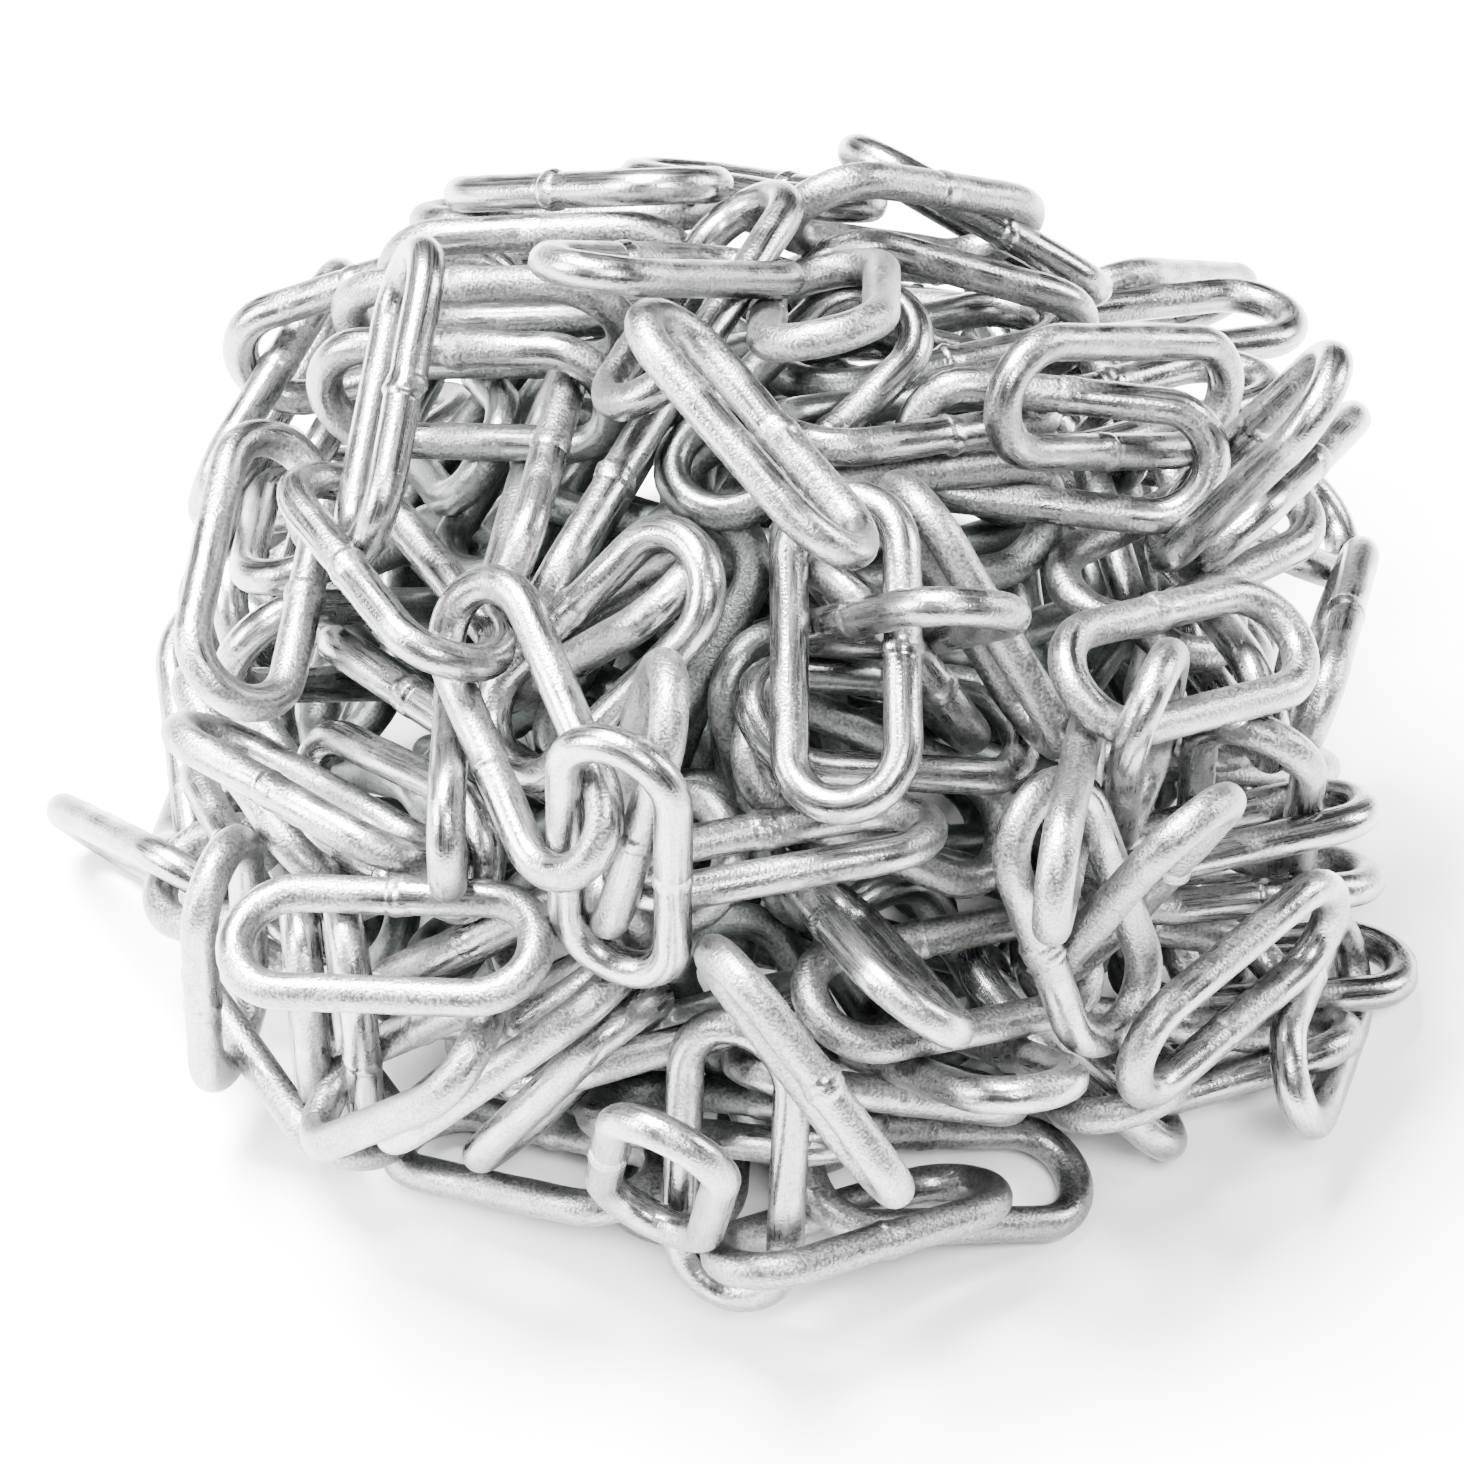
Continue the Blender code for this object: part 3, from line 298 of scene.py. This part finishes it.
def joined_links(name, places, first_seed, material):
    """One object with all the links of a run, each a closed tube of its own."""
    rings = len(STATIONS)
    i, j = np.meshgrid(np.arange(rings), np.arange(WIRE_SIDES), indexing="ij")
    ahead = (i + 1) % rings
    beside = (j + 1) % WIRE_SIDES
    quads = np.stack([
        i * WIRE_SIDES + j,
        ahead * WIRE_SIDES + j,
        ahead * WIRE_SIDES + beside,
        i * WIRE_SIDES + beside,
    ], axis=-1).reshape(-1, 4)
    made = [wire_of_link(place, first_seed + k) for k, place in enumerate(places)]
    verts, finish_and_shade, wire = (np.concatenate(values) for values in zip(*made))
    faces = np.concatenate([quads + k * rings * WIRE_SIDES for k in range(len(places))])
    mesh = bpy.data.meshes.new(name)
    mesh.vertices.add(len(verts))
    mesh.vertices.foreach_set("co", verts.ravel())
    mesh.loops.add(faces.size)
    mesh.loops.foreach_set("vertex_index", faces.ravel())
    mesh.polygons.add(len(faces))
    mesh.polygons.foreach_set("loop_start", np.arange(0, faces.size, 4))
    mesh.update(calc_edges=True)
    mesh.validate()
    mesh.attributes.new("finish_and_shade", "FLOAT_COLOR", "POINT").data.foreach_set("color", finish_and_shade.ravel())
    mesh.attributes.new("wire", "FLOAT_VECTOR", "POINT").data.foreach_set("vector", wire.ravel())
    mesh.shade_smooth()
    mesh.materials.append(material)
    piece = bpy.data.objects.new(name, mesh)
    bpy.context.scene.collection.objects.link(piece)
    return piece


# Hot-dip zinc is bright and streaked where it ran, and frosted and grainy where it froze slowly.
# Patches are a few millimetres across and grains under half a millimetre.
ZINC_COLOUR = (0.70, 0.71, 0.72, 1.0)
ZINC_ROUGHNESS = 0.38
PATCH_SCALE = 210.0
PATCH_PUSH = 0.4
BRIGHT_EDGE = (0.25, 0.75)
STREAK_STRETCH = (2.6, 2.6, 0.11)
STREAK_SCALE = 3.0
GRAIN_SCALE = 2300.0
GRAIN_SHARPNESS = 0.6
NOISE_DETAIL = 1.0
NOISE_RANGE = (0.3, 0.7)
WHOLE_RANGE = (0.0, 1.0)
MATT_ROUGHNESS = (0.36, 0.50)
BRIGHT_ROUGHNESS = (0.22, 0.32)
DUST_ROUGHNESS = 0.12
MATT_TONE = (0.125, 0.285)
BRIGHT_TONE = (0.14, 0.23)
BRIGHT_GRAIN = 0.08
LINK_TONE = (0.84, 1.10)
# What share of the tone each channel keeps with no painted shade and with full painted shade deep in the
# heap.
LIT_AND_PAINTED_SHADE = {"Red": (1.0, 0.42), "Green": (1.012, 0.47), "Blue": (1.0, 0.46)}
BRIGHT_GRAIN_HEIGHT = 0.4
GRAIN_HEIGHT = 0.0003
GRAIN_STRENGTH = 0.4


def zinc_finish_and_shade(name, lightness=1.0):
    """The zinc's material, from the finish, the painted shade and the wire coordinates of each link."""
    material = bpy.data.materials.new(name)
    material.use_nodes = True
    nodes = material.node_tree.nodes
    link = material.node_tree.links.new
    shader = nodes["Principled BSDF"]
    shader.inputs["Metallic"].default_value = 1.0
    shader.inputs["Base Color"].default_value = ZINC_COLOUR
    shader.inputs["Roughness"].default_value = ZINC_ROUGHNESS

    def node(kind, **values):
        made = nodes.new(kind)
        for key, value in values.items():
            setattr(made, key, value)
        return made

    def noise(vector, scale, sharpness=0.5):
        made = node("ShaderNodeTexNoise")
        made.inputs["Scale"].default_value = scale
        made.inputs["Detail"].default_value = NOISE_DETAIL
        made.inputs["Roughness"].default_value = sharpness
        link(vector, made.inputs["Vector"])
        return made.outputs["Fac"]

    def mapped(value, span, to):
        made = node("ShaderNodeMapRange")
        for socket, number in zip(made.inputs[1:5], (*span, *to)):
            socket.default_value = number
        link(value, made.inputs["Value"])
        return made.outputs["Result"]

    def mixed(factor, one, two):
        made = node("ShaderNodeMix", data_type="FLOAT")
        link(factor, made.inputs[0])
        link(one, made.inputs[2])
        link(two, made.inputs[3])
        return made.outputs[0]

    def worked(operation, one, two):
        made = node("ShaderNodeMath", operation=operation)
        for socket, value in zip(made.inputs, (one, two)):
            if isinstance(value, (int, float)):
                socket.default_value = value
            else:
                link(value, socket)
        return made.outputs[0]

    def tones(low, high):
        return low * lightness, high * lightness

    finish_and_shade = node("ShaderNodeSeparateColor")
    link(node("ShaderNodeAttribute", attribute_name="finish_and_shade").outputs["Color"], finish_and_shade.inputs["Color"])
    along = node("ShaderNodeMapping")
    along.inputs["Scale"].default_value = STREAK_STRETCH
    link(node("ShaderNodeAttribute", attribute_name="wire").outputs["Vector"], along.inputs["Vector"])
    in_heap = node("ShaderNodeTexCoord").outputs["Object"]
    patches = noise(in_heap, PATCH_SCALE)
    streaks = noise(along.outputs["Vector"], STREAK_SCALE)
    grain = noise(in_heap, GRAIN_SCALE, GRAIN_SHARPNESS)
    bright = worked("ADD", finish_and_shade.outputs["Red"], mapped(patches, NOISE_RANGE, (-PATCH_PUSH, PATCH_PUSH)))
    bright = mapped(bright, BRIGHT_EDGE, WHOLE_RANGE)
    shade_and_dullness = finish_and_shade.outputs["Blue"]

    matt_rough = mapped(grain, NOISE_RANGE, MATT_ROUGHNESS)
    bright_rough = mapped(streaks, NOISE_RANGE, BRIGHT_ROUGHNESS)
    rough = mixed(bright, matt_rough, bright_rough)
    dust = mapped(shade_and_dullness, WHOLE_RANGE, (0.0, DUST_ROUGHNESS))
    link(worked("ADD", rough, dust), shader.inputs["Roughness"])

    matt_tone = mapped(grain, NOISE_RANGE, tones(*MATT_TONE))
    bright_tone = mapped(streaks, NOISE_RANGE, tones(*BRIGHT_TONE))
    bright_tone = worked("ADD", bright_tone, mapped(grain, NOISE_RANGE, tones(0.0, BRIGHT_GRAIN)))
    tone = mixed(bright, matt_tone, bright_tone)
    tone = worked("MULTIPLY", tone, mapped(finish_and_shade.outputs["Green"], WHOLE_RANGE, LINK_TONE))
    # Painted shade: deep in the heap the tone is painted down to under half, and a little cooler.
    colour = node("ShaderNodeCombineColor")
    for channel, lit_and_painted_shade in LIT_AND_PAINTED_SHADE.items():
        painted_shade_tint = mapped(shade_and_dullness, WHOLE_RANGE, lit_and_painted_shade)
        link(worked("MULTIPLY", tone, painted_shade_tint), colour.inputs[channel])
    link(colour.outputs["Color"], shader.inputs["Base Color"])

    bump = node("ShaderNodeBump")
    bump.inputs["Strength"].default_value = GRAIN_STRENGTH
    bump.inputs["Distance"].default_value = GRAIN_HEIGHT
    link(mixed(bright, grain, worked("MULTIPLY", grain, BRIGHT_GRAIN_HEIGHT)), bump.inputs["Height"])
    link(bump.outputs["Normal"], shader.inputs["Normal"])
    return material


zinc = zinc_finish_and_shade("galvanised_zinc")
shown = {name: laid_links(name) for name in sorted(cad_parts) if name.startswith("chain_run")}
seed = 1
for name, places in shown.items():
    piece = joined_links(name + "_links", places, seed, zinc)
    seed += len(places)
    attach(piece, "root")
    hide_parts(name)


# The links hidden inside the heap. They are the same chain: some lie flat on the floor, the others
# any way in what room the links round them leave. They show only as dark wire through the openings.
HIDDEN_SEED = 7
MOST_HIDDEN = 54
FLAT_TRIES = 6000
ALL_TRIES = 60000
BEYOND_CORE = 12.0
FLOOR_GAP = 0.2
LEAST_APART = 5.08
MOST_APART = 6.6
FEEL_POINTS = 60
FEEL = round_the_wire(np.linspace(0, ROUND_LENGTH, FEEL_POINTS + 1)[:-1])[0]
FIRST_HIDDEN_SEED = 1000
SHADED_LIGHTNESS = 0.9


def tree_of(places):
    """A search tree over points along the wires of the given links."""
    points = [FEEL @ place[:3, :3].T + place[:3, 3] for place in places]
    tree = kdtree.KDTree(len(points) * len(FEEL))
    for number, point in enumerate(np.concatenate(points)):
        tree.insert(point, number)
    tree.balance()
    return tree


def room_round(place, trees):
    """The least distance from a link's wire to those in the trees, or 0 once it is too little."""
    least = MOST_APART + 1
    for point in FEEL[::2] @ place[:3, :3].T + place[:3, 3]:
        if point[2] < WIRE_RADIUS:
            return 0
        for tree in trees:
            least = min(least, tree.find(point)[2])
        if least < LEAST_APART:
            return 0
    return least


def hidden_links(shown_places):
    """Places of loose links in and just round the core, clear of the given links and each other."""
    chance = random.Random(HIDDEN_SEED)
    reach = Vector(CORE_HALF) + Vector((BEYOND_CORE, BEYOND_CORE, BEYOND_CORE))
    shown_tree = tree_of(shown_places)
    trees = [shown_tree]
    hidden = []
    for number in range(ALL_TRIES):
        if len(hidden) >= MOST_HIDDEN:
            break
        flat = number < FLAT_TRIES
        spot = Vector([chance.uniform(-1, 1), chance.uniform(-1, 1), 0.0 if flat else chance.uniform(0, 1)])
        if spot.length > 1:
            continue
        turn = Matrix.Rotation(chance.uniform(0, math.tau), 3, "Z")
        if not flat:
            for axis in "XYZ":
                turn = turn @ Matrix.Rotation(chance.uniform(0, math.tau), 3, axis)
        place = np.eye(4)
        place[:3, :3] = np.array(turn)
        place[:3, 3] = Vector(CORE_MIDDLE) + Vector(a * b for a, b in zip(spot, reach))
        place[2, 3] = max(place[2, 3], WIRE_RADIUS + FLOOR_GAP)
        room = room_round(place, trees)
        if LEAST_APART <= room and (flat or room <= MOST_APART):
            hidden.append(place)
            trees = [shown_tree, tree_of(hidden)]
    return hidden


all_shown = [place for places in shown.values() for place in places]
shaded = zinc_finish_and_shade("shaded_zinc", SHADED_LIGHTNESS)
inside = joined_links("hidden_links", hidden_links(all_shown), FIRST_HIDDEN_SEED, shaded)
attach(inside, "root")
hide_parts("hidden_links_core")


# The plain pale floor that the heap lies on: a broad sheet of matt white board. It is a stage and
# no part of the object.
FLOOR_HALF = 1.5
FLOOR_COLOUR = (0.92, 0.92, 0.92, 1.0)
FLOOR_ROUGHNESS = 0.7
floor_corners = [(x * FLOOR_HALF, y * FLOOR_HALF, 0) for x, y in ((-1, -1), (1, -1), (1, 1), (-1, 1))]
floor_mesh = bpy.data.meshes.new("floor")
floor_mesh.from_pydata(floor_corners, [], [(0, 1, 2, 3)])
floor = bpy.data.objects.new("floor", floor_mesh)
floor_paint = bpy.data.materials.new("floor_paint")
floor_paint.use_nodes = True
floor_shader = floor_paint.node_tree.nodes["Principled BSDF"]
floor_shader.inputs["Base Color"].default_value = FLOOR_COLOUR
floor_shader.inputs["Roughness"].default_value = FLOOR_ROUGHNESS
floor_mesh.materials.append(floor_paint)
bpy.context.scene.collection.objects.link(floor)


# Soft studio light in a dark room: the main panel hangs over the heap's left back, one stands at
# each side and a small one is above the camera, so that every wire has a bright side and a dark edge.
ROOM_COLOUR = (0.97, 1.0, 1.0, 1.0)
ROOM_STRENGTH = 0.03
AIM = Vector((0.0, 0.0, 0.04))
room = bpy.data.worlds.new("studio")
room.use_nodes = True
room.node_tree.nodes["Background"].inputs["Color"].default_value = ROOM_COLOUR
room.node_tree.nodes["Background"].inputs["Strength"].default_value = ROOM_STRENGTH
bpy.context.scene.world = room


def panel(name, place, size, power):
    """A soft panel of light, in metres and watts, turned to the heap."""
    light = bpy.data.lights.new(name, "AREA")
    light.shape = "RECTANGLE"
    light.size, light.size_y = size
    light.energy = power
    lamp = bpy.data.objects.new(name, light)
    lamp.location = place
    lamp.rotation_euler = (AIM - Vector(place)).to_track_quat("-Z", "Y").to_euler()
    bpy.context.scene.collection.objects.link(lamp)


panel("panel_above", (-0.35, 0.18, 1.05), (0.6, 0.45), 240)
panel("panel_left", (-0.9, -0.2, 0.5), (0.4, 0.5), 50)
panel("panel_right", (0.9, 0.2, 0.5), (0.3, 0.5), 24)
panel("panel_front", (0.2, -0.9, 1.2), (0.5, 0.3), 46)


# The camera looks down on the heap's front from about 45 degrees, from 0.9 m.
PICTURE_SIDE = 1464
PIXELS_PER_MM = 7.2
SENSOR_WIDTH = 36.0
EYE_DISTANCE = 900.0
EYE_ELEVATION = math.radians(45.0)
TARGET_HEIGHT = 25.0
EYE_TARGET = Vector(CORE_MIDDLE) + Vector((0.0, 0.0, TARGET_HEIGHT))
camera = bpy.data.objects.new("camera", bpy.data.cameras.new("camera"))
camera.data.sensor_width = SENSOR_WIDTH
camera.data.lens = SENSOR_WIDTH * PIXELS_PER_MM * EYE_DISTANCE / PICTURE_SIDE
toward = Vector((0.0, -math.cos(EYE_ELEVATION), math.sin(EYE_ELEVATION)))
camera.location = (EYE_TARGET + EYE_DISTANCE * toward) * MM
camera.rotation_euler = (-toward).to_track_quat("-Z", "Y").to_euler()
bpy.context.scene.collection.objects.link(camera)
bpy.context.scene.camera = camera
